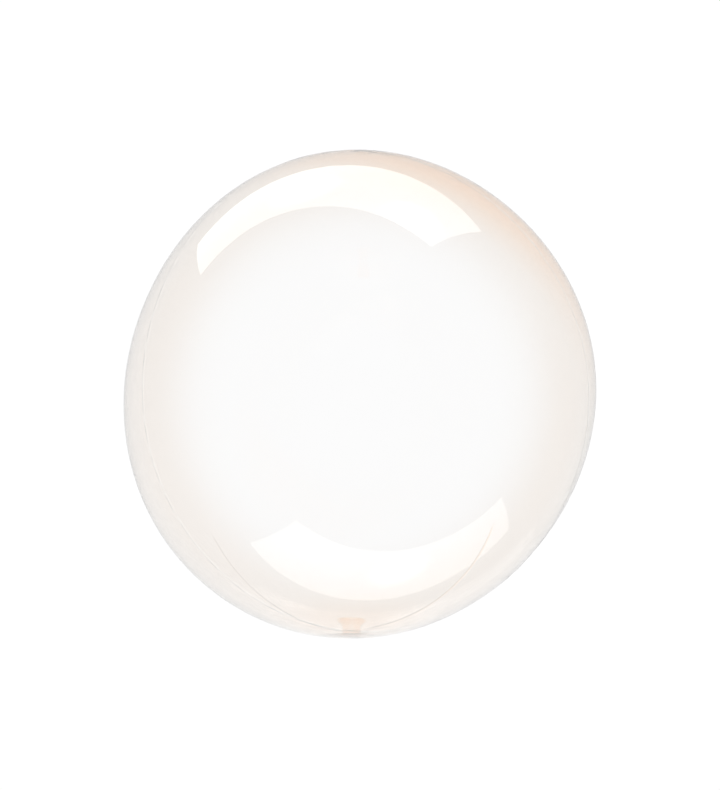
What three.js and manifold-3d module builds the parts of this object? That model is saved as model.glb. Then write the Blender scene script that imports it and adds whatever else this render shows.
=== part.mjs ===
// A clear bubble balloon: two round panels of stretchy film, heat welded at their rims and
// filled with air until they stand as one globe, with a flat filling tail at the bottom.
//
// Millimetres, +Z up. The origin is the centre of the small flat foot that the globe rests on.
// The front of the balloon faces -Y. The sealed globe is one solid of its outer shape.

import * as THREE from 'three';
import { mergeVertices } from 'three/addons/utils/BufferGeometryUtils.js';
import Module from 'manifold-3d';

// The globe
const GLOBE_RADIUS = 229; // mean radius of the filled film
const LONG_AXIS_SHARE = 0.021; // how much longer the radius is along the long axis
const LONG_AXIS_LEAN = 73; // degrees from +X towards +Z
const LOBE_SHARE = 0.0075; // how far the outline is from round towards three-cornered
const LOBE_TURN = -7; // degrees from +X to the first of the three lobes
const CORNER_SHARE = 0.0035; // how far it is from round towards four-cornered
const CORNER_TURN = 8; // degrees from +X to the first of the four corners
const FOOT_RADIUS = 28; // the flat spot where the film sits on a table

// The weld that joins the two panels runs round the globe on a tilted great circle
const SEAM_TILT = 21; // degrees that the weld's circle leans out of the XZ plane
const SEAM_NEAR_TURN = 25; // degrees from +X to where the weld comes furthest forward
const WELD_PROUD = 1.2; // how far the trimmed weld stands out of the film
const WELD_BASE_WIDTH = 3.6;
const WELD_CREST_WIDTH = 1.2;

// The film is drawn into shallow gathers beside the weld
const GATHER_COUNT = 40;
const GATHER_DEPTH = 0.8;
const GATHER_REACH = 4; // degrees from the weld at which a gather has faded

// The filling tail, folded back under the globe
const NECK_TURN = 241.7; // degrees along the weld, from where it comes furthest forward
const TAIL_LENGTH = 40;
const TAIL_ROOT_WIDTH = 20;
const TAIL_WAIST_WIDTH = 16.5;
const TAIL_END_WIDTH = 28;
const TAIL_WAIST_PLACE = 0.3; // share of the length
const TAIL_FLARE_PLACE = 0.85; // share of the length at which the tail is at its full width
const TAIL_THICKNESS = 0.6;
const TAIL_CORNER = 2.5;
const TAIL_CLEARANCE = 0.4; // between the tail's root and the film above it

// Facets
const COLUMNS = 2 * GATHER_COUNT;
const PANEL_ROWS = 19; // rows of facets from the weld to the middle of a panel

const wasm = await Module();
wasm.setup();

const radians = THREE.MathUtils.degToRad;
const xzDirection = (degrees) =>
  new THREE.Vector3(Math.cos(radians(degrees)), 0, Math.sin(radians(degrees)));

const longAxis = xzDirection(LONG_AXIS_LEAN);
const front = new THREE.Vector3(0, -1, 0);

// The weld's circle: the direction where it is nearest the front, the direction a quarter turn
// on from there, and the normal of its plane, which points to the front panel's middle.
const seamNear = xzDirection(SEAM_NEAR_TURN)
  .multiplyScalar(Math.cos(radians(SEAM_TILT)))
  .addScaledVector(front, Math.sin(radians(SEAM_TILT)));
const seamQuarter = xzDirection(SEAM_NEAR_TURN + 90);
const seamNormal = seamQuarter.clone().cross(seamNear).normalize();

// Distance from the globe's middle to its film, in a direction of unit length
function filmRadius(direction) {
  const spread = Math.hypot(direction.x, direction.z);
  const turn = Math.atan2(direction.z, direction.x);
  const oval = 2 * direction.dot(longAxis) ** 2 - spread ** 2;
  const lobes = spread ** 3 * Math.cos(3 * (turn - radians(LOBE_TURN)));
  const corners = spread ** 4 * Math.cos(4 * (turn - radians(CORNER_TURN)));
  const stretch = LONG_AXIS_SHARE * oval + LOBE_SHARE * lobes + CORNER_SHARE * corners;
  return GLOBE_RADIUS * (1 + stretch);
}

function seamDirection(degrees) {
  return seamNear.clone()
    .multiplyScalar(Math.cos(radians(degrees)))
    .addScaledVector(seamQuarter, Math.sin(radians(degrees)));
}

// Latitudes of the facet rows, in degrees from the weld: the weld's two crests and two edges,
// close rows over the gathers, then even rows to the middle of the panel
function panelLatitudes() {
  const perMillimetre = 180 / (Math.PI * GLOBE_RADIUS);
  const crest = WELD_CREST_WIDTH / 2 * perMillimetre;
  const edge = WELD_BASE_WIDTH / 2 * perMillimetre;
  const latitudes = [crest, edge];
  for (let row = 1; row <= PANEL_ROWS; row++) {
    const share = row / PANEL_ROWS;
    latitudes.push(edge + (90 - edge) * (0.45 * share + 0.55 * share ** 1.8));
  }
  return latitudes;
}

// The globe's profile at a radius of 1: from the back panel's middle, over the weld, to the
// front panel's middle. The weld's crests stand proud of the film.
function globeProfile() {
  const latitudes = panelLatitudes();
  const signed = [...latitudes.map((degrees) => -degrees).reverse(), ...latitudes];
  return signed.map((degrees) => {
    const onCrest = Math.abs(degrees) <= latitudes[0];
    const reach = onCrest ? 1 + WELD_PROUD / GLOBE_RADIUS : 1;
    const outward = Math.abs(degrees) === 90 ? 0 : reach * Math.cos(radians(degrees));
    return new THREE.Vector2(outward, reach * Math.sin(radians(degrees)));
  });
}

// Height of the gathers: every other column is drawn in, and the pull fades over the panel
function gatherHeight(latitude, turn) {
  const fade = Math.max(0, 1 - Math.abs(latitude) / GATHER_REACH);
  return -GATHER_DEPTH * fade * (0.5 - 0.5 * Math.cos(GATHER_COUNT * turn));
}

// Keeps positions alone, joins equal vertices and drops triangles that have no area
function closedGeometry(geometry) {
  const plain = geometry.clone();
  plain.deleteAttribute('normal');
  plain.deleteAttribute('uv');
  const merged = mergeVertices(plain, 1e-3);
  const index = merged.getIndex().array;
  const kept = [];
  for (let i = 0; i < index.length; i += 3) {
    const [a, b, c] = index.subarray(i, i + 3);
    if (a !== b && b !== c && c !== a) kept.push(a, b, c);
  }
  merged.setIndex(kept);
  return merged;
}

function manifoldOf(geometry) {
  const closed = closedGeometry(geometry);
  return new wasm.Manifold(new wasm.Mesh({
    numProp: 3,
    vertProperties: new Float32Array(closed.getAttribute('position').array),
    triVerts: new Uint32Array(closed.getIndex().array),
  }));
}

function geometryOf(manifold) {
  const mesh = manifold.getMesh();
  const geometry = new THREE.BufferGeometry();
  geometry.setAttribute('position', new THREE.BufferAttribute(mesh.vertProperties, 3));
  geometry.setIndex(new THREE.BufferAttribute(mesh.triVerts, 1));
  return geometry;
}

// A lathed ball about the weld's axis, drawn out to the film's own radius in each direction
function globeGeometry() {
  const geometry = new THREE.LatheGeometry(globeProfile(), COLUMNS);
  const toSeam = new THREE.Quaternion()
    .setFromUnitVectors(new THREE.Vector3(0, 1, 0), seamNormal);
  const position = geometry.getAttribute('position');
  const point = new THREE.Vector3();
  for (let i = 0; i < position.count; i++) {
    point.fromBufferAttribute(position, i);
    const reach = point.length();
    const latitude = THREE.MathUtils.radToDeg(Math.asin(point.y / reach));
    const gather = gatherHeight(latitude, Math.atan2(point.x, point.z));
    point.divideScalar(reach).applyQuaternion(toSeam);
    point.multiplyScalar(filmRadius(point) + (reach - 1) * GLOBE_RADIUS + gather);
    position.setXYZ(i, point.x, point.y, point.z);
  }
  return geometry;
}

// The lowest direction of the globe, found by stepping down its film
function lowestDirection() {
  const lowest = new THREE.Vector3(0, 0, -1);
  const trial = new THREE.Vector3();
  for (let degrees = -8; degrees <= 8; degrees += 0.05) {
    trial.copy(xzDirection(270 + degrees));
    if (trial.z * filmRadius(trial) < lowest.z * filmRadius(lowest)) lowest.copy(trial);
  }
  return lowest;
}

const lowest = lowestDirection();
const footRise = FOOT_RADIUS ** 2 / (2 * GLOBE_RADIUS);
const footCentre = lowest.clone().multiplyScalar(filmRadius(lowest));
footCentre.z += footRise;

function filmEnvelope() {
  const floorSide = 4 * GLOBE_RADIUS;
  const floorBlock = new THREE.BoxGeometry(floorSide, floorSide, floorSide);
  floorBlock.translate(0, 0, footCentre.z - floorSide / 2);
  const globe = manifoldOf(globeGeometry()).subtract(manifoldOf(floorBlock));
  const film = new THREE.MeshStandardMaterial({
    color: 0xfbf3ee, roughness: 0.06, metalness: 0, transparent: true, opacity: 0.3,
  });
  const mesh = new THREE.Mesh(geometryOf(globe), film);
  mesh.name = 'film_envelope';
  return mesh;
}

// Outline of the tail: an hourglass whose root follows the weld and whose end is rounded
function tailOutline(rootSlope) {
  const root = TAIL_ROOT_WIDTH / 2;
  const waist = TAIL_WAIST_WIDTH / 2;
  const end = TAIL_END_WIDTH / 2;
  const waistAt = TAIL_WAIST_PLACE * TAIL_LENGTH;
  const flareAt = TAIL_FLARE_PLACE * TAIL_LENGTH;
  const flare = flareAt - waistAt;
  const start = WELD_BASE_WIDTH / 2 + TAIL_CLEARANCE;
  const outline = new THREE.Shape();
  outline.moveTo(-root, start - root * rootSlope);
  outline.lineTo(root, start + root * rootSlope);
  outline.quadraticCurveTo(waist, 0.5 * waistAt, waist, waistAt);
  outline.bezierCurveTo(waist, waistAt + 0.4 * flare, end, flareAt - 0.4 * flare, end, flareAt);
  outline.lineTo(end, TAIL_LENGTH - TAIL_CORNER);
  outline.quadraticCurveTo(end, TAIL_LENGTH, end - TAIL_CORNER, TAIL_LENGTH);
  outline.lineTo(TAIL_CORNER - end, TAIL_LENGTH);
  outline.quadraticCurveTo(-end, TAIL_LENGTH, -end, TAIL_LENGTH - TAIL_CORNER);
  outline.lineTo(-end, flareAt);
  outline.bezierCurveTo(-end, flareAt - 0.4 * flare, -waist, waistAt + 0.4 * flare, -waist, waistAt);
  outline.quadraticCurveTo(-waist, 0.5 * waistAt, -root, start - root * rootSlope);
  return outline;
}

// The tail leaves the weld at the neck and lies straight back under the globe
function fillingTail() {
  const outward = seamDirection(NECK_TURN);
  const back = new THREE.Vector3(0, 1, 0);
  const along = back.clone().addScaledVector(outward, -back.dot(outward)).normalize();
  const across = outward.clone().cross(along);
  const weldRun = seamDirection(NECK_TURN + 90);
  const rootSlope = weldRun.dot(along) / weldRun.dot(across);
  const geometry = new THREE.ExtrudeGeometry(tailOutline(rootSlope), {
    depth: TAIL_THICKNESS, bevelEnabled: false, curveSegments: 8,
  });
  const film = new THREE.MeshStandardMaterial({
    color: 0xf6cfae, roughness: 0.18, metalness: 0, transparent: true, opacity: 0.75,
  });
  const mesh = new THREE.Mesh(closedGeometry(geometry), film);
  mesh.name = 'filling_tail';
  const inward = outward.clone().negate();
  mesh.quaternion.setFromRotationMatrix(new THREE.Matrix4().makeBasis(across, along, inward));
  const height = filmRadius(outward) + TAIL_CLEARANCE + TAIL_THICKNESS;
  mesh.position.copy(outward).multiplyScalar(height);
  return mesh;
}

const balloon = new THREE.Group();
balloon.name = 'clear_bubble_balloon';
balloon.add(filmEnvelope(), fillingTail());
balloon.position.copy(footCentre).negate();

export default balloon;
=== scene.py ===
# %% Load the packed balloon
import math

import bmesh
import bpy
import numpy as np
from mathutils import Matrix, Vector


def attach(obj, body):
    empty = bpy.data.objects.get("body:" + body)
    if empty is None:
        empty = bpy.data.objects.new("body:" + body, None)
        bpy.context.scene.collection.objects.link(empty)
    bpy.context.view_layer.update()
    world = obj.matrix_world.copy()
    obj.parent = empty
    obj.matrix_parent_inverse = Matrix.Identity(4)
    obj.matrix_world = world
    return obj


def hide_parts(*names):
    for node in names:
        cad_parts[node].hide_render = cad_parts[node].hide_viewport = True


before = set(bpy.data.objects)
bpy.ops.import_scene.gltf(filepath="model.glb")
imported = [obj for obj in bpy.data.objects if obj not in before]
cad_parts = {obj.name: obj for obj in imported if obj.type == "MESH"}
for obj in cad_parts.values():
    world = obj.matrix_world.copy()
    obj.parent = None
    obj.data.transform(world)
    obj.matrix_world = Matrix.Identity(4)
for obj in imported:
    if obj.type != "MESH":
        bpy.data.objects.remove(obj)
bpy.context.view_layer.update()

# %% [markdown]
# # The globe's own numbers
# A bubble balloon is two round panels of stretchy film, welded at their rims. Filled with air
# they stand as one globe, a little taller than wide, and never quite round. The packed solid
# has the same outer shape, but facets would show in a glossy skin. So the film is worked out
# again from the same few numbers, and it can then be as finely divided as a highlight needs.

# %% The shape of the filled film
MM = 0.001
GLOBE_RADIUS = 229 * MM
LONG_AXIS_SHARE = 0.021
LONG_AXIS_LEAN = math.radians(73)
LOBE_SHARE = 0.0075
LOBE_TURN = math.radians(-7)
CORNER_SHARE = 0.0035
CORNER_TURN = math.radians(8)


def film_radius(direction):
    """Distance from the globe's middle to its film, for an array of unit directions."""
    x, z = direction[..., 0], direction[..., 2]
    spread = np.hypot(x, z)
    turn = np.arctan2(z, x)
    along = x * math.cos(LONG_AXIS_LEAN) + z * math.sin(LONG_AXIS_LEAN)
    oval = 2 * along ** 2 - spread ** 2
    lobes = spread ** 3 * np.cos(3 * (turn - LOBE_TURN))
    corners = spread ** 4 * np.cos(4 * (turn - CORNER_TURN))
    stretch = LONG_AXIS_SHARE * oval + LOBE_SHARE * lobes + CORNER_SHARE * corners
    return GLOBE_RADIUS * (1 + stretch)


# %% [markdown]
# # Where the globe stands
# The origin is the middle of the flat spot that the globe rests on. Soft film flattens a
# little under its own weight. The spot could be cut off the mesh, but then new edges would
# have to be joined. Here the globe stands a little too low, and every point that would lie
# under the floor is raised to it. The spot's radius says how low, as on any round bulge.

# %% The middle of the globe
FOOT_RADIUS = 28 * MM
FOOT_RISE = FOOT_RADIUS ** 2 / (2 * GLOBE_RADIUS)
LOWEST_BETWEEN = (262, 278.001)
LOWEST_STEP = 0.05


def lowest_film_point():
    """The lowest point of the film, measured from the globe's middle."""
    turns = np.radians(np.arange(*LOWEST_BETWEEN, LOWEST_STEP))
    directions = np.stack([np.cos(turns), 0 * turns, np.sin(turns)], axis=-1)
    points = directions * film_radius(directions)[:, None]
    return points[np.argmin(points[:, 2])]


GLOBE_MIDDLE = -(lowest_film_point() + np.array([0, 0, FOOT_RISE]))
print("middle of the globe in millimetres:", (GLOBE_MIDDLE / MM).round(2))

# %% [markdown]
# # Where the weld runs
# The two rims are welded on one great circle, and the balloon stands with that circle leaning
# a little out of upright. Everything that happens beside the weld is easiest to write in the
# weld's own terms: a turn along it, and a latitude away from it. So the film is laid out like
# a globe whose equator is the weld.

# %% Directions from a turn and a latitude
SEAM_TILT = math.radians(21)
SEAM_NEAR_TURN = math.radians(25)

seam_near = np.array([
    math.cos(SEAM_NEAR_TURN) * math.cos(SEAM_TILT),
    -math.sin(SEAM_TILT),
    math.sin(SEAM_NEAR_TURN) * math.cos(SEAM_TILT),
])
seam_quarter = np.array([-math.sin(SEAM_NEAR_TURN), 0, math.cos(SEAM_NEAR_TURN)])
seam_normal = np.cross(seam_quarter, seam_near)


def globe_direction(turn, latitude):
    """Unit directions, where latitude 0 is the weld and 90 degrees is the front's middle."""
    turn, latitude = np.broadcast_arrays(turn, latitude)
    flat = np.cos(turn)[..., None] * seam_near + np.sin(turn)[..., None] * seam_quarter
    return np.cos(latitude)[..., None] * flat + np.sin(latitude)[..., None] * seam_normal


def film_point(turn, latitude, height=0.0):
    """Points in the row frame, a height above the film, flat where the globe rests."""
    direction = globe_direction(turn, latitude)
    reach = film_radius(direction) + height
    points = GLOBE_MIDDLE + direction * np.asarray(reach)[..., None]
    points[..., 2] = np.maximum(points[..., 2], np.maximum(-np.asarray(height), 0))
    return points


print("the front panel's middle faces", seam_normal.round(3))

# %% [markdown]
# # The neck
# The balloon is filled through a neck, a gap in the weld near the globe's lowest point. Its
# place could be typed in as three numbers. It is worked out from a turn along the weld
# instead, so it stays on the weld wherever that leans. Three directions belong to it:
# outward, along the tail that folds back under the globe, and across.

# %% The neck and its directions
NECK_TURN = math.radians(241.7)

neck_outward = globe_direction(NECK_TURN, 0.0)
neck_along = np.array([0, 1, 0]) - neck_outward[1] * neck_outward
neck_along /= np.linalg.norm(neck_along)
neck_across = np.cross(neck_outward, neck_along)
neck_point = film_point(NECK_TURN, 0.0)
print("neck of the balloon in millimetres:", (neck_point / MM).round(1))

# %% [markdown]
# # A skin you can look through
# Clear film is never one surface. Light bends and reflects where it enters and again where it
# leaves, so the skin needs a true thickness: an outer surface, and an inner one just below it.
# It could be made by a Solidify modifier, but at the weld the two panels are melted together
# into a low ridge that is thicker than the film beside it. So the outer surface and the inner
# one are each worked out on their own, and at the weld the inner one rises a little less.

# %% The film's wall and the weld's low ridge
FILM_WALL = 0.2 * MM
WELD_PROUD = 0.18 * MM
WELD_HOLLOW_SHARE = 0.9
WELD_HALF_CREST = 0.3 * MM
WELD_HALF_ROOT = 3.0 * MM


def weld_height(arc):
    """How far the outer surface rises at an arc's distance from the weld's middle."""
    rise = np.clip((WELD_HALF_ROOT - np.abs(arc)) / (WELD_HALF_ROOT - WELD_HALF_CREST), 0, 1)
    return WELD_PROUD * rise * rise * (3 - 2 * rise)


print("the weld is thicker by", round((1 - WELD_HOLLOW_SHARE) * WELD_PROUD / MM, 3), "mm")

# %% [markdown]
# # Gathers, puckers and slow waves
# A weld can't stretch as far as the film beside it, so the film is gathered there. At the neck
# fine puckers spread out like rays. The rest of the film is smooth but for slow waves, which
# bend its reflections a little. A bump in the finish would be quicker, but it would leave the
# outline smooth. So all three are heights added to the film. A fixed seed draws the same
# waves every time.

# %% Relief of the film
GATHER_DEPTH = 0.35 * MM
GATHER_REACH = 9 * MM
PUCKER_COUNT = 22
PUCKER_DEPTH = 0.35 * MM
PUCKER_START = 8 * MM
PUCKER_REACH = 24 * MM
WAVE_COUNT = 9
WAVE_TIGHTNESS = 6
WAVE_HEIGHT = 0.12 * MM

rng = np.random.default_rng(31)
gather_waves = [(40, 1.0, 0.0), (57, 0.7, 1.9), (83, 0.5, 4.1)]
slow_waves = [(rng.normal(size=3), rng.uniform(0, 2 * math.pi)) for _ in range(WAVE_COUNT)]


def gathers_by_weld(turn, latitude):
    """Waves along the weld, none on its ridge and fading away from it."""
    arc = np.abs(latitude) * GLOBE_RADIUS
    waves = sum(share * np.cos(count * turn + start) for count, share, start in gather_waves)
    return waves * np.exp(-arc / GATHER_REACH) * (1 - np.exp(-(arc / WELD_HALF_ROOT) ** 2))


def puckers_by_neck(direction):
    """Rays round the neck, which start a little way out and fade."""
    from_neck = (direction - neck_outward) * GLOBE_RADIUS
    across, along = from_neck @ neck_across, from_neck @ neck_along
    spread = np.hypot(across, along)
    rays = np.cos(PUCKER_COUNT * np.arctan2(across, along)) * np.exp(-spread / PUCKER_REACH)
    return rays * (1 - np.exp(-(spread / PUCKER_START) ** 2))


def film_relief(turn, latitude):
    """Height of the gathers, the puckers and the slow waves together."""
    direction = globe_direction(turn, latitude)
    waves = sum(np.sin(WAVE_TIGHTNESS * direction @ axis + start) for axis, start in slow_waves)
    return (
        GATHER_DEPTH * gathers_by_weld(turn, latitude)
        + PUCKER_DEPTH * puckers_by_neck(direction)
        + WAVE_HEIGHT * waves / math.sqrt(WAVE_COUNT)
    )


print("slow waves drawn:", len(slow_waves))

# %% [markdown]
# # Rows close together where the form is tight
# The weld is a few millimetres wide on a globe of nearly half a metre. Evenly spaced rows
# fine enough for it would make a million faces. So the rows crowd together at the weld and
# open out towards the middles of the panels, where the film is plain and round. The outer and
# the inner surface share the same rows, so that the wall between them is even.

# %% Rows and columns of the film
COLUMNS = 456
ROW_ARCS = [0, 0.3, 0.6, 0.9, 1.2, 1.5, 1.8, 2.2, 2.6, 3, 4, 5.4, 7.2, 9.6, 12.6, 16.5, 21.5]
OPEN_STEP = math.radians(2.2)


def film_rows():
    """Latitudes from the back's middle to the front's, without the two poles."""
    first = [arc * MM / GLOBE_RADIUS for arc in ROW_ARCS]
    count = round((math.pi / 2 - first[-1]) / OPEN_STEP)
    rest = [first[-1] + (math.pi / 2 - first[-1]) * k / count for k in range(1, count)]
    half = first + rest
    return np.array([-v for v in half[:0:-1]] + half)


print("rows of the film:", len(film_rows()))

# %% One closed surface
def film_surface(height):
    """Points and faces of one closed surface, wound so that it faces out."""
    rows = film_rows()
    turn = np.arange(COLUMNS) * 2 * math.pi / COLUMNS
    grid_turn, grid_row = np.meshgrid(turn, rows)
    points = film_point(grid_turn, grid_row, height(grid_turn, grid_row)).reshape(-1, 3)
    back = film_point(0.0, -math.pi / 2, height(np.zeros(1), np.full(1, -math.pi / 2)))
    front = film_point(0.0, math.pi / 2, height(np.zeros(1), np.full(1, math.pi / 2)))
    points = np.vstack([points, back.reshape(1, 3), front.reshape(1, 3)])
    back_pole, front_pole = len(points) - 2, len(points) - 1
    faces = []
    for column in range(COLUMNS):
        following = (column + 1) % COLUMNS
        for row in range(len(rows) - 1):
            low, high = row * COLUMNS, (row + 1) * COLUMNS
            faces.append((low + column, high + column, high + following, low + following))
        top = (len(rows) - 1) * COLUMNS
        faces.append((top + column, front_pole, top + following))
        faces.append((column, following, back_pole))
    return points, faces


def outer_height(turn, latitude):
    """Height of the film's outer surface: the weld's ridge and the relief."""
    return weld_height(latitude * GLOBE_RADIUS) + film_relief(turn, latitude)


def inner_height(turn, latitude):
    """Height of the inner surface: one wall lower, and rising less at the weld."""
    rise = WELD_HOLLOW_SHARE * weld_height(latitude * GLOBE_RADIUS)
    return rise + film_relief(turn, latitude) - FILM_WALL


crest_wall = float(outer_height(0.0, 0.0) - inner_height(0.0, 0.0))
print("wall at the weld's crest in millimetres:", round(crest_wall / MM, 3))

# %% Build the film
def object_from(name, points, faces):
    """A smooth-shaded object in the row frame, linked to the scene."""
    mesh = bpy.data.meshes.new(name)
    mesh.from_pydata([tuple(p) for p in points], [], faces)
    mesh.polygons.foreach_set("use_smooth", [True] * len(faces))
    made = bpy.data.objects.new(name, mesh)
    bpy.context.scene.collection.objects.link(made)
    return made


outer_points, outer_faces = film_surface(outer_height)
inner_points, inner_faces = film_surface(inner_height)
inner_faces = [tuple(len(outer_points) + v for v in reversed(face)) for face in inner_faces]
filled_film = object_from(
    "filled_film", np.vstack([outer_points, inner_points]), outer_faces + inner_faces
)
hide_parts("film_envelope")
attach(filled_film, "root")
print("film faces:", len(filled_film.data.polygons))

# %% [markdown]
# # The filling valve
# The valve is a flat tube made of two strips of film, sealed along their edges. It passes
# through the weld at the neck. The outer end is the tail that the pump goes into, and it lies
# folded back under the globe. The inner end is shut flat by the air and lies on the inside of
# the film. A curve with a bevel could make them, but its section would stay the same all
# along. So one function makes both as a loft: stations along a middle line, each with a width
# and a gap. The narrow part is shut flat, so it is one strip there. Further on walls of true
# thickness let the open end show its lips.

# %% Cross-sections of the flat tube
TUBE_WALL = 0.15 * MM
SEAL_SHARE = 0.16
RING = 56
ROOT_WALL_SHARE = 0.1
WALL_GROWTH = 0.3
EDGE_SHARPNESS = 3
CHANNEL_ROUNDNESS = 0.8
RIPPLE_COUNT = 9
RIPPLE_SHARE = 0.25

ring_turns = np.arange(RING) * 2 * math.pi / RING
ring_side, ring_rise = np.cos(ring_turns), np.sin(ring_turns)


def outer_ring(station, row):
    """The outside of the tube at one station, with a thin edge and a tapered root."""
    middle, across, facing, half, gap = station
    wall = TUBE_WALL * min(1, ROOT_WALL_SHARE + WALL_GROWTH * row)
    channel = np.clip(1 - (np.abs(ring_side) / (1 - SEAL_SHARE)) ** 2, 0, 1)
    ripples = 1 + RIPPLE_SHARE * np.cos(RIPPLE_COUNT * ring_side)
    lift = gap * channel ** CHANNEL_ROUNDNESS * ripples
    skin = lift + wall * np.minimum(1, EDGE_SHARPNESS * np.abs(ring_rise))
    signed = np.where(ring_rise >= 0, 1, -1) * skin
    return middle + np.outer(half * ring_side, across) + np.outer(signed, facing)


def inner_ring(station):
    """The open channel between the two strips at one station."""
    middle, across, facing, half, gap = station
    bore = (1 - SEAL_SHARE) * half
    opening = gap * np.clip(1 - np.abs(ring_side) ** 2, 0, 1) ** CHANNEL_ROUNDNESS
    opening = opening * np.sign(ring_rise)
    return middle + np.outer(bore * ring_side, across) + np.outer(opening, facing)


print("points in each ring:", RING)

# %% Join the rings into a tube
def flat_tube(name, stations, shut_rows):
    """Lofts a tube, shut flat over its first rows and open at its far end.

    A station is (middle, across, facing, half width, gap between the strips)."""
    outer = [outer_ring(station, row) for row, station in enumerate(stations)]
    inner = [inner_ring(station) for station in stations[shut_rows:]]
    count = len(stations)
    points = np.vstack([*outer, *inner, stations[0][0][None], stations[shut_rows][0][None]])
    inside = (count - shut_rows) * RING
    root, floor_of_bore = len(points) - 2, len(points) - 1
    mouth, first_open = (count - 1) * RING, shut_rows * RING
    faces = []
    for point in range(RING):
        following = (point + 1) % RING
        for row in range(count - 1):
            near, far = row * RING, (row + 1) * RING
            faces.append((near + point, near + following, far + following, far + point))
            if row >= shut_rows:
                near, far = inside + near, inside + far
                faces.append((near + following, near + point, far + point, far + following))
        lip = inside + mouth
        faces.append((mouth + point, mouth + following, lip + following, lip + point))
        faces.append((point, root, following))
        end = inside + first_open
        faces.append((end + following, floor_of_bore, end + point))
    return object_from(name, points, faces)


def facing_out(made):
    """Turns every face of a closed piece outwards."""
    work = bmesh.new()
    work.from_mesh(made.data)
    bmesh.ops.recalc_face_normals(work, faces=work.faces)
    work.to_mesh(made.data)
    work.free()


print("faces in each row of a tube:", RING)

# %% [markdown]
# # The tail outside
# The tail is an hourglass in outline: wide at its root, narrow just beyond the weld, and wide
# again at its mouth. Once the globe is full nothing stiffens it, so it bends back and clings
# to the film above it. A flat tube bent by a modifier would do, but a middle line that bends
# is simpler: it is the straight line of the packed solid, lifted a little at the far end to
# follow the film. A few widths, eased from one to the next, give the hourglass.

# %% Widths and gaps along the tail
TAIL_LENGTH = 40 * MM
TAIL_START = 2 * MM
TAIL_CLEARANCE = 1.0 * MM
TAIL_CLING = 0.9
TAIL_ROWS = 33
TAIL_SHUT_ROWS = 18
TAIL_PLACES = [0, 0.3, 0.85, 0.95, 1]
TAIL_HALVES = [10 * MM, 8.25 * MM, 14 * MM, 13.4 * MM, 10.5 * MM]
TAIL_GAPS = [0, 0.15 * MM, 0.4 * MM, 0.6 * MM, 0.7 * MM]


def between(value, places, sizes):
    """Reads a width off a short list of places and sizes, eased between them."""
    place = np.interp(value, places, np.arange(len(places)))
    whole = min(int(place), len(places) - 2)
    share = place - whole
    share = share * share * (3 - 2 * share)
    return sizes[whole] + (sizes[whole + 1] - sizes[whole]) * share


print("waist of the tail in millimetres:", round(2 * min(TAIL_HALVES) / MM, 2))

# %% Build the tail
tail_stations = []
for share in np.linspace(0, 1, TAIL_ROWS):
    along = TAIL_START + share * TAIL_LENGTH
    lift = TAIL_CLING * along ** 2 / (2 * GLOBE_RADIUS)
    middle = neck_point + neck_along * along + neck_outward * (TAIL_CLEARANCE - lift)
    half = between(share, TAIL_PLACES, TAIL_HALVES)
    gap = between(share, TAIL_PLACES, TAIL_GAPS)
    tail_stations.append((middle, neck_across, -neck_outward, half, gap))
filling_tail = flat_tube("filling_tail_film", tail_stations, TAIL_SHUT_ROWS)
facing_out(filling_tail)
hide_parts("filling_tail")
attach(filling_tail, "root")
print("tail length in millimetres:", TAIL_LENGTH / MM)

# %% [markdown]
# # The sealed inner end
# Inside, the same tube fans out and is pressed flat by the air, which is what keeps the
# balloon shut. It lies on the film and runs forward from the neck. A Shrinkwrap modifier could
# press a flat piece against the film. It is more exact to let each station stand on the
# film's own curve, a chosen lift above it.

# %% Build the inner end of the valve
VALVE_LENGTH = 58 * MM
VALVE_START = 0.5 * MM
VALVE_LIFT = 0.5 * MM
VALVE_ROWS = 41
VALVE_SHUT_ROWS = 34
VALVE_PLACES = [0, 0.12, 0.8, 0.95, 1]
VALVE_HALVES = [8.25 * MM, 8.4 * MM, 14 * MM, 14 * MM, 12 * MM]
VALVE_GAPS = [0, 0.02 * MM, 0.05 * MM, 0.3 * MM, 0.5 * MM]

valve_stations = []
for share in np.linspace(0, 1, VALVE_ROWS):
    bend = (VALVE_START + share * VALVE_LENGTH) / GLOBE_RADIUS
    outward = math.cos(bend) * neck_outward - math.sin(bend) * neck_along
    gap = between(share, VALVE_PLACES, VALVE_GAPS)
    reach = film_radius(outward) - FILM_WALL - TUBE_WALL - VALVE_LIFT - gap
    middle = GLOBE_MIDDLE + outward * reach
    middle[2] = max(middle[2], FILM_WALL + VALVE_LIFT + gap)
    half = between(share, VALVE_PLACES, VALVE_HALVES)
    valve_stations.append((middle, neck_across, -outward, half, gap))
valve_end = flat_tube("valve_inner_end", valve_stations, VALVE_SHUT_ROWS)
facing_out(valve_end)
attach(valve_end, "root")
print("valve end runs forward to y =", round(valve_stations[-1][0][1] / MM, 1), "mm")

# %% [markdown]
# # Small helpers for node materials
# Each finish is a node tree that ends in one Principled shader. Nodes can be placed by hand
# in the editor, but helpers with short names keep a long tree readable. What is the same all
# over is a plain number on the shader's socket. What changes from place to place comes from
# where a point lies on the balloon, read from object coordinates, so it stays put in every
# view.

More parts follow.
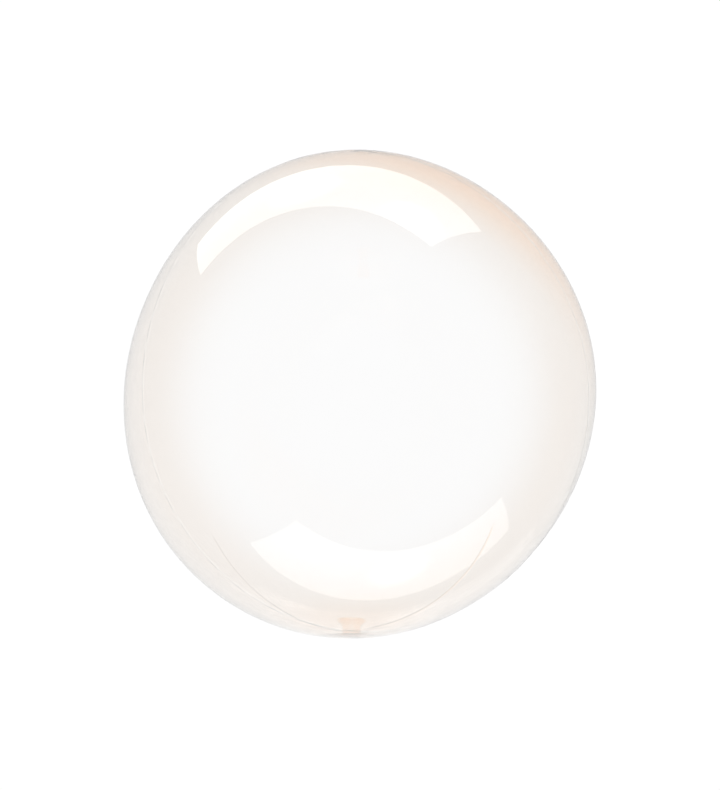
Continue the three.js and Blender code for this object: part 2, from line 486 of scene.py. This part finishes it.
# %% Node helpers
class Finish:
    """A material with one Principled shader and short ways to add nodes to it."""

    def __init__(self, name, **plain):
        self.material = bpy.data.materials.new(name)
        self.material.use_nodes = True
        self.nodes = self.material.node_tree.nodes
        self.links = self.material.node_tree.links
        self.shader = self.nodes["Principled BSDF"]
        for socket, value in plain.items():
            self.shader.inputs[socket.replace("_", " ")].default_value = value
        self.place = self.nodes.new("ShaderNodeTexCoord").outputs["Object"]

    def feed(self, socket, value):
        """Links a socket, or sets a plain colour or number on it."""
        if isinstance(value, bpy.types.NodeSocket):
            self.links.new(value, socket)
        elif isinstance(value, (tuple, list)) and len(value) == 3 and socket.type == "RGBA":
            socket.default_value = (*value, 1)
        else:
            socket.default_value = value

    def math(self, operation, first, second=0.0, clamp=False):
        """One sum, product or other step of arithmetic."""
        node = self.nodes.new("ShaderNodeMath")
        node.operation = operation
        node.use_clamp = clamp
        for socket, value in zip(node.inputs, (first, second)):
            self.feed(socket, value)
        return node.outputs[0]

    def vector(self, operation, first, second):
        """One step of arithmetic on places or directions."""
        node = self.nodes.new("ShaderNodeVectorMath")
        node.operation = operation
        self.feed(node.inputs[0], first)
        self.feed(node.inputs[1], second)
        return node.outputs["Value" if operation in ("DOT_PRODUCT", "DISTANCE") else "Vector"]

    def ramp(self, value, low, high, to_low=0.0, to_high=1.0):
        """Eases from one number to another while a value goes from low to high."""
        node = self.nodes.new("ShaderNodeMapRange")
        node.interpolation_type = "SMOOTHSTEP"
        self.feed(node.inputs["Value"], value)
        for socket, number in zip(("From Min", "From Max", "To Min", "To Max"),
                                  (low, high, to_low, to_high)):
            node.inputs[socket].default_value = number
        return node.outputs["Result"]

    def noise(self, scale, detail=2.0, stretch=(1, 1, 1)):
        """Soft random patches, scale of them to a metre."""
        node = self.nodes.new("ShaderNodeTexNoise")
        node.inputs["Scale"].default_value = scale
        node.inputs["Detail"].default_value = detail
        self.links.new(self.vector("MULTIPLY", self.place, stretch), node.inputs["Vector"])
        return node.outputs["Fac"]

    def blend(self, share, first, second):
        """A colour between two, by a share."""
        node = self.nodes.new("ShaderNodeMix")
        node.data_type = "RGBA"
        for socket, value in zip((node.inputs[0], node.inputs[6], node.inputs[7]),
                                 (share, first, second)):
            self.feed(socket, value)
        return node.outputs[2]

    def bump(self, height, distance):
        """Fine relief of a given distance, added to the shader's normal."""
        node = self.nodes.new("ShaderNodeBump")
        node.inputs["Distance"].default_value = distance
        node.inputs["Strength"].default_value = 1.0
        self.links.new(height, node.inputs["Height"])
        self.links.new(node.outputs["Normal"], self.shader.inputs["Normal"])

    def on(self, *pieces):
        """Puts the finish on pieces."""
        for piece in pieces:
            piece.data.materials.clear()
            piece.data.materials.append(self.material)


print("helpers of a finish:", [name for name in vars(Finish) if not name.startswith("_")])

# %% [markdown]
# # Clear film, and where it is held back
# The film is tinted in the roll. At the middles of the two panels it is stretched most, so it
# is thin and almost clear there. Towards the rims the weld holds it back and it stays thicker.
# The tint could be painted on the mesh, but a mask worked out from where a point lies is even
# and needs no painting. This one asks how far a point lies in front of the middle or behind.

# %% Clear in the middle of each panel
CLEAR_TINT = (0.978, 0.978, 0.978)
HELD_TINT = (0.940, 0.915, 0.890)
HELD_FROM_MIDDLE = 0.46
CLEAR_FROM_MIDDLE = 0.82

film_finish = Finish("clear_film", Transmission_Weight=1.0, IOR=1.45)
from_middle = film_finish.vector("SUBTRACT", film_finish.place, tuple(GLOBE_MIDDLE))
to_front = film_finish.vector("DOT_PRODUCT", from_middle, (0, -1 / GLOBE_RADIUS, 0))
held_back = film_finish.ramp(
    film_finish.math("ABSOLUTE", to_front), HELD_FROM_MIDDLE, CLEAR_FROM_MIDDLE, 1.0, 0.0
)
stretched = film_finish.blend(held_back, CLEAR_TINT, HELD_TINT)
print("film is clear from", round(CLEAR_FROM_MIDDLE * GLOBE_RADIUS / MM), "mm off the middle")

# %% [markdown]
# # Where the full tint gathers
# Around the neck, and along one side of the globe, the film has hardly stretched at all, so
# the colour gathers there. It could be a gradient across the whole globe, but these are two
# places with clear film between them. So each has a soft mask of its own: an oval patch on
# the side and a round one at the neck. A little slow cloudiness keeps the tint from looking
# sprayed on.

# %% Full tint along one side and round the neck
FULL_TINT = (0.965, 0.80, 0.67)
THICK_TURN = math.radians(62)
THICK_LENGTH = 1.0 * GLOBE_RADIUS
THICK_BREADTH = 0.5 * GLOBE_RADIUS
THICK_EDGE = 1.1
THICK_OUTWARD_FROM, THICK_OUTWARD_TO = 0.1, 0.5
NECK_TINT_SHARE = 0.45
NECK_TINT_CORE = 15 * MM
NECK_TINT_REACH = 100 * MM
CLOUD_SCALE = 9
CLOUD_SHARE = 0.06

thick_outward = np.array([math.cos(THICK_TURN), 0, math.sin(THICK_TURN)])
thick_run = np.array([-math.sin(THICK_TURN), 0, math.cos(THICK_TURN)])
run = film_finish.vector("DOT_PRODUCT", from_middle, tuple(thick_run / THICK_LENGTH))
aside = film_finish.vector("DOT_PRODUCT", from_middle, (0, 1 / THICK_BREADTH, 0))
squares = film_finish.math(
    "ADD", film_finish.math("MULTIPLY", run, run), film_finish.math("MULTIPLY", aside, aside)
)
outward = film_finish.vector("DOT_PRODUCT", from_middle, tuple(thick_outward / GLOBE_RADIUS))
thick_side = film_finish.math(
    "MULTIPLY",
    film_finish.ramp(squares, 0.0, THICK_EDGE, 1.0, 0.0),
    film_finish.ramp(outward, THICK_OUTWARD_FROM, THICK_OUTWARD_TO),
)
from_neck = film_finish.vector("DISTANCE", film_finish.place, tuple(neck_point))
near_neck = film_finish.ramp(
    from_neck, NECK_TINT_CORE, NECK_TINT_REACH, NECK_TINT_SHARE, 0.0
)
cloudiness = film_finish.math("MULTIPLY", film_finish.noise(CLOUD_SCALE, 3), held_back)
cloudiness = film_finish.math("MULTIPLY", cloudiness, CLOUD_SHARE)
full_share = film_finish.math("ADD", thick_side, near_neck)
full_share = film_finish.math("ADD", full_share, cloudiness, clamp=True)
tinted = film_finish.blend(full_share, stretched, FULL_TINT)
print("tint reaches", round(NECK_TINT_REACH / MM), "mm from the neck")

# %% [markdown]
# # The weld's pale stripe
# Where the panels are melted together the film has gone a little dull and patchy, so the weld
# shows as a thin, pale, mottled stripe. The ridge's faces could have a material of their own,
# but that would end at a hard edge. A mask that fades with the distance from the weld's plane
# keeps the edge soft, and a noise texture breaks the stripe up.

# %% A mottled stripe along the weld
WELD_TINT = (0.975, 0.96, 0.94)
STRIPE_HALF_CORE = 1.0 * MM
STRIPE_HALF_EDGE = 4.5 * MM
MOTTLE_SCALE = 170
MOTTLE_FROM, MOTTLE_TO = 0.35, 0.65
MOTTLE_LEAST = 0.3

to_weld = film_finish.vector("DOT_PRODUCT", from_middle, tuple(seam_normal))
on_weld = film_finish.ramp(
    film_finish.math("ABSOLUTE", to_weld), STRIPE_HALF_CORE, STRIPE_HALF_EDGE, 1.0, 0.0
)
mottling = film_finish.ramp(
    film_finish.noise(MOTTLE_SCALE, 2), MOTTLE_FROM, MOTTLE_TO, MOTTLE_LEAST, 1.0
)
welded = film_finish.blend(film_finish.math("MULTIPLY", on_weld, mottling), tinted, WELD_TINT)
print("half width of the stripe in millimetres:", STRIPE_HALF_EDGE / MM)

# %% [markdown]
# # Two creases from the neck
# Folding the flat balloon for its packet left creases, and two of them still show as fine
# lines that run out from the neck. A crease is thinner than the mesh is fine, so it is made
# in the finish: a plane through three places cuts the film along a line, and the line gets a
# tint and a fine bump. It fades towards both ends.

# %% Creases
CREASE_CORE = 0.2 * MM
CREASE_HALF_WIDTH = 1.6 * MM
CREASE_HEIGHT = 0.15 * MM
CREASE_FADE_SHARE = 0.3
CREASES = [
    ((0.905, 0.865, 0.825), (118, -79), (140, -59), (142, -38)),
    ((0.950, 0.865, 0.780), (80, -78), (44, -62), (43, -32)),
]


def unit_direction(turn, rise):
    """The direction at a turn about the upright and a rise above level, both in degrees."""
    turn, rise = math.radians(turn), math.radians(rise)
    level = math.cos(rise)
    return np.array([level * math.cos(turn), level * math.sin(turn), math.sin(rise)])


def on_crease(*places):
    """How far a point lies on the crease through three places on the film."""
    first, middle, last = (unit_direction(*place) for place in places)
    aside = np.cross(middle - first, last - first)
    aside /= np.linalg.norm(aside)
    past_plane = film_finish.vector("DOT_PRODUCT", from_middle, tuple(aside))
    off_line = film_finish.math("SUBTRACT", past_plane, float(first @ aside) * GLOBE_RADIUS)
    on_line = film_finish.ramp(
        film_finish.math("ABSOLUTE", off_line), CREASE_CORE, CREASE_HALF_WIDTH, 1.0, 0.0
    )
    halfway = (first + last) / np.linalg.norm(first + last)
    at_end = float(first @ halfway)
    to_halfway = film_finish.vector("DOT_PRODUCT", from_middle, tuple(halfway / GLOBE_RADIUS))
    fade = film_finish.ramp(to_halfway, at_end, at_end + CREASE_FADE_SHARE * (1 - at_end))
    return film_finish.math("MULTIPLY", on_line, fade)


film_colour = welded
crease_lines = []
for crease_tint, *places in CREASES:
    crease_lines.append(on_crease(*places))
    film_colour = film_finish.blend(crease_lines[-1], film_colour, crease_tint)
print("creases from the neck:", len(crease_lines))

# %% [markdown]
# # How glossy the film is
# New film is as smooth as glass, but handling leaves faintly duller patches, and the weld is
# duller all along. One number for the roughness would make every reflection equally sharp. So
# it comes from a slow noise and from the weld's mask, and then all the parts are joined.

# %% Join the clear film's finish
UNEVEN_SCALE = 40
UNEVEN_FROM, UNEVEN_TO = 0.35, 0.75
UNEVEN_ROUGHNESS = 0.03
WELD_ROUGHNESS = 0.08

film_finish.links.new(film_colour, film_finish.shader.inputs["Base Color"])
film_finish.bump(film_finish.math("ADD", *crease_lines), CREASE_HEIGHT)
unevenness = film_finish.ramp(
    film_finish.noise(UNEVEN_SCALE, 4), UNEVEN_FROM, UNEVEN_TO, 0.0, UNEVEN_ROUGHNESS
)
weld_dullness = film_finish.math("MULTIPLY", on_weld, WELD_ROUGHNESS)
film_finish.links.new(
    film_finish.math("ADD", unevenness, weld_dullness), film_finish.shader.inputs["Roughness"]
)
film_finish.on(filled_film)
print("nodes in the clear film's finish:", len(film_finish.nodes))

# %% [markdown]
# # Tinted film of the valve
# The valve's strips are never stretched, so they show the film's full colour, and most of it
# where the two lie shut on each other. They were sealed between hot bars, which leaves fine
# lengthwise ridges, too fine for the mesh and so made as a bump. Down the middle runs the
# paler open channel. Seen edge on, many walls lie behind each other, and with the index of
# refraction of real film too little light would come through them. So it is set close to 1.

# %% Ridges and patches of the strips
VALVE_TINT = (1.0, 0.955, 0.90)
VALVE_DEEP_TINT = (1.0, 0.91, 0.83)
RIDGE_SPACING = 2.2 * MM
RIDGE_HEIGHT = 0.05 * MM
PATCH_SCALE = 220
PATCH_STRETCH = (1, 0.3, 1)
RIDGE_AND_PATCH_MEAN = 0.5

valve_finish = Finish("tinted_film", Transmission_Weight=1.0, IOR=1.05)
from_root = valve_finish.vector("SUBTRACT", valve_finish.place, tuple(neck_point))
across_tube = valve_finish.vector("DOT_PRODUCT", from_root, tuple(neck_across))
ridges = valve_finish.math(
    "SINE", valve_finish.math("MULTIPLY", across_tube, 2 * math.pi / RIDGE_SPACING)
)
ridges = valve_finish.ramp(ridges, -1, 1)
patches = valve_finish.noise(PATCH_SCALE, 3, PATCH_STRETCH)
valve_share = valve_finish.math(
    "MULTIPLY", valve_finish.math("ADD", ridges, patches), RIDGE_AND_PATCH_MEAN
)
one_strip = valve_finish.blend(valve_share, VALVE_TINT, VALVE_DEEP_TINT)
print("ridges stand", round(RIDGE_SPACING / MM, 1), "mm apart")

# %% Deeper where the strips are shut, paler down the channel
SHUT_TINT = (1.0, 0.85, 0.72)
SHUT_TO = 16 * MM
OPEN_FROM = 26 * MM
CHANNEL_TINT = (1.0, 0.97, 0.94)
CHANNEL_HALF_CORE = 0.4 * MM
CHANNEL_HALF_EDGE = 2.2 * MM
CHANNEL_SHARE = 0.6
PATCH_FROM, PATCH_TO = 0.3, 0.7
SMOOTH_ROUGHNESS, DULL_ROUGHNESS = 0.02, 0.1

behind_neck = valve_finish.vector("DOT_PRODUCT", from_root, (0, 1, 0))
shut_share = valve_finish.ramp(behind_neck, SHUT_TO, OPEN_FROM, 1.0, 0.0)
strips = valve_finish.blend(shut_share, one_strip, SHUT_TINT)
channel_share = valve_finish.ramp(
    valve_finish.math("ABSOLUTE", across_tube),
    CHANNEL_HALF_CORE, CHANNEL_HALF_EDGE, CHANNEL_SHARE, 0.0,
)
valve_finish.links.new(
    valve_finish.blend(channel_share, strips, CHANNEL_TINT),
    valve_finish.shader.inputs["Base Color"],
)
valve_finish.links.new(
    valve_finish.ramp(patches, PATCH_FROM, PATCH_TO, SMOOTH_ROUGHNESS, DULL_ROUGHNESS),
    valve_finish.shader.inputs["Roughness"],
)
valve_finish.bump(ridges, RIDGE_HEIGHT)
valve_finish.on(filling_tail, valve_end)
print("finishes:", [m.name for m in bpy.data.materials])

# %% [markdown]
# # A pale studio
# Clear film shows little of itself: it is seen by what shines through it and what it mirrors.
# So the studio matters as much as the film. An image of a real room could be wrapped round
# the scene, but a few plain brightnesses are easier to tune. Floor and backdrop are one even
# white, and what the film mirrors is the dimmer room around them and one large softbox
# overhead. The room tells the two apart by counting reflections: light that has met none is
# the white backdrop.

# %% Helpers for things that glow
BACKDROP = 1.03

scene = bpy.context.scene
scene.view_settings.view_transform = "Standard"


def by_reflections(nodes, links, mirrored):
    """A brightness: the backdrop's when no reflection came before, else what is mirrored."""
    path = nodes.new("ShaderNodeLightPath")
    bounced = nodes.new("ShaderNodeMath")
    bounced.operation = "ADD"
    bounced.use_clamp = True
    links.new(path.outputs["Glossy Depth"], bounced.inputs[0])
    links.new(path.outputs["Diffuse Depth"], bounced.inputs[1])
    choice = nodes.new("ShaderNodeMix")
    links.new(bounced.outputs[0], choice.inputs["Factor"])
    choice.inputs[2].default_value = BACKDROP
    links.new(mirrored, choice.inputs[3])
    return choice.outputs[0]


def fading(nodes, links, distance, reach, near, far):
    """A brightness that eases from near to far while a distance grows to its reach."""
    node = nodes.new("ShaderNodeMapRange")
    node.interpolation_type = "SMOOTHSTEP"
    for name, number in (("From Max", reach), ("To Min", near), ("To Max", far)):
        node.inputs[name].default_value = number
    links.new(distance, node.inputs["Value"])
    return node.outputs["Result"]


def sum_of(nodes, links, first, second):
    """Two brightnesses added."""
    node = nodes.new("ShaderNodeMath")
    links.new(first, node.inputs[0])
    links.new(second, node.inputs[1])
    return node.outputs[0]


def glowing(name):
    """A white emissive material for the studio, with its emission node to feed."""
    made = bpy.data.materials.new(name)
    made.use_nodes = True
    made.node_tree.nodes.clear()
    emission = made.node_tree.nodes.new("ShaderNodeEmission")
    emission.inputs["Color"].default_value = (1, 1, 1, 1)
    output = made.node_tree.nodes.new("ShaderNodeOutputMaterial")
    made.node_tree.links.new(emission.outputs[0], output.inputs["Surface"])
    return made, emission


print("brightness of the backdrop:", BACKDROP)

# %% Room
ROOM_HORIZON = 0.92
ROOM_TOP = 0.80

world = bpy.data.worlds.new("pale_studio")
scene.world = world
world.use_nodes = True
nodes, links = world.node_tree.nodes, world.node_tree.links
direction = nodes.new("ShaderNodeTexCoord").outputs["Generated"]
split = nodes.new("ShaderNodeSeparateXYZ")
links.new(direction, split.inputs[0])
climb = nodes.new("ShaderNodeMapRange")
climb.inputs["To Min"].default_value = ROOM_HORIZON
climb.inputs["To Max"].default_value = ROOM_TOP
links.new(split.outputs["Z"], climb.inputs["Value"])
links.new(
    by_reflections(nodes, links, climb.outputs[0]), nodes["Background"].inputs["Strength"]
)
nodes["Background"].inputs["Color"].default_value = (1, 1, 1, 1)
print("the room goes from", ROOM_HORIZON, "at the horizon to", ROOM_TOP, "overhead")

# %% [markdown]
# # The floor
# The balloon stands on a white sweep. A plain white floor under strong lamps would do, but
# its evenness would depend on every lamp. This one glows softly by itself. What the film
# mirrors of it is brightest near the balloon, and once more right under the globe, where
# light has come down through the film. It lies a hair below the film so that the two never
# share a surface.

# %% Floor
FLOOR_SIZE = 12.0
FLOOR_DROP = 0.4 * MM
FLOOR_MIRRORED = 0.93
FLOOR_NEAR_MIRRORED = 1.0
POOL_RADIUS = 1.6
UNDER_GLOBE_GLOW = 0.2
UNDER_GLOBE_RADIUS = 0.11

half_floor = FLOOR_SIZE / 2
corners = [(-half_floor, -half_floor), (half_floor, -half_floor),
           (half_floor, half_floor), (-half_floor, half_floor)]
floor = object_from("floor", [(x, y, -FLOOR_DROP) for x, y in corners], [(0, 1, 2, 3)])
floor_paint, floor_light = glowing("floor_paint")
nodes, links = floor_paint.node_tree.nodes, floor_paint.node_tree.links
length = nodes.new("ShaderNodeVectorMath")
length.operation = "LENGTH"
links.new(nodes.new("ShaderNodeTexCoord").outputs["Object"], length.inputs[0])
from_balloon = length.outputs["Value"]
mirrored_floor = sum_of(
    nodes, links,
    fading(nodes, links, from_balloon, POOL_RADIUS, FLOOR_NEAR_MIRRORED, FLOOR_MIRRORED),
    fading(nodes, links, from_balloon, UNDER_GLOBE_RADIUS, UNDER_GLOBE_GLOW, 0.0),
)
links.new(by_reflections(nodes, links, mirrored_floor), floor_light.inputs["Strength"])
floor.data.materials.append(floor_paint)
print("floor lies", FLOOR_DROP / MM, "mm below the balloon")

# %% [markdown]
# # The softbox
# A wide softbox hangs overhead and a little behind. The near film mirrors it upright near the
# top of the globe. The far film is a hollow mirror, and shows it again, upside down, near the
# bottom. Two lamps stand behind its cloth, so it is brighter in two soft spots. It could be an
# area light, but a mesh that glows can vary over its cloth.

# %% Softbox
SOFTBOX_WIDTH = 2.60
SOFTBOX_DEPTH = 0.88
SOFTBOX_PLACE_IN_RADII = (-1.606, 2.364, 5.415)
SOFTBOX_TURN = (-0.396, -0.018, -0.027)

half_width, half_depth = SOFTBOX_WIDTH / 2, SOFTBOX_DEPTH / 2
softbox = object_from(
    "softbox",
    [(-half_width, -half_depth, 0), (half_width, -half_depth, 0),
     (half_width, half_depth, 0), (-half_width, half_depth, 0)],
    [(3, 2, 1, 0)],
)
softbox_centre = Vector(GLOBE_MIDDLE) + GLOBE_RADIUS * Vector(SOFTBOX_PLACE_IN_RADII)
around_z, around_x, around_y = SOFTBOX_TURN
softbox.matrix_world = (
    Matrix.Translation(softbox_centre)
    @ Matrix.Rotation(around_z, 4, "Z")
    @ Matrix.Rotation(around_x, 4, "X")
    @ Matrix.Rotation(around_y, 4, "Y")
)
print("softbox centre in metres:", [round(v, 3) for v in softbox_centre])

# %% Cloth of the softbox, with two lamps behind it
SOFTBOX_GLOW = 1.95
LAMP_GLOW = 2.3
LAMP_SPREAD = 0.32
LAMP_PLACES = [(0.97, -0.28, 0.0), (0.04, -0.10, 0.0)]

softbox_cloth, softbox_light = glowing("softbox_cloth")
nodes, links = softbox_cloth.node_tree.nodes, softbox_cloth.node_tree.links
cloth_place = nodes.new("ShaderNodeTexCoord").outputs["Object"]
cloth_glow = SOFTBOX_GLOW / len(LAMP_PLACES)
lit_by_lamp = []
for lamp_place in LAMP_PLACES:
    from_lamp = nodes.new("ShaderNodeVectorMath")
    from_lamp.operation = "DISTANCE"
    links.new(cloth_place, from_lamp.inputs[0])
    from_lamp.inputs[1].default_value = lamp_place
    lit_by_lamp.append(fading(
        nodes, links, from_lamp.outputs["Value"], LAMP_SPREAD, cloth_glow + LAMP_GLOW, cloth_glow
    ))
links.new(sum_of(nodes, links, *lit_by_lamp), softbox_light.inputs["Strength"])
softbox.data.materials.append(softbox_cloth)
softbox.visible_camera = False
print("lamps behind the cloth:", len(lit_by_lamp))

# %% [markdown]
# # The camera
# The camera stands level with the globe's middle, six widths away, with a long lens. That
# keeps the round outline round.

# %% Camera
CAMERA_DISTANCE = 12 * GLOBE_RADIUS
CAMERA_ASIDE = 1.6 * MM
CAMERA_BELOW = 0.1 * MM
LENS = 130.7

camera = bpy.data.objects.new("camera", bpy.data.cameras.new("camera"))
camera.location = Vector(GLOBE_MIDDLE) + Vector((CAMERA_ASIDE, -CAMERA_DISTANCE, -CAMERA_BELOW))
camera.rotation_euler = (math.radians(90), 0, 0)
camera.data.lens = LENS
scene.collection.objects.link(camera)
scene.camera = camera
print("camera distance in metres:", round(CAMERA_DISTANCE, 3))

# %% [markdown]
# Sizes
# The finished skin has to fill the same box as the packed solid.
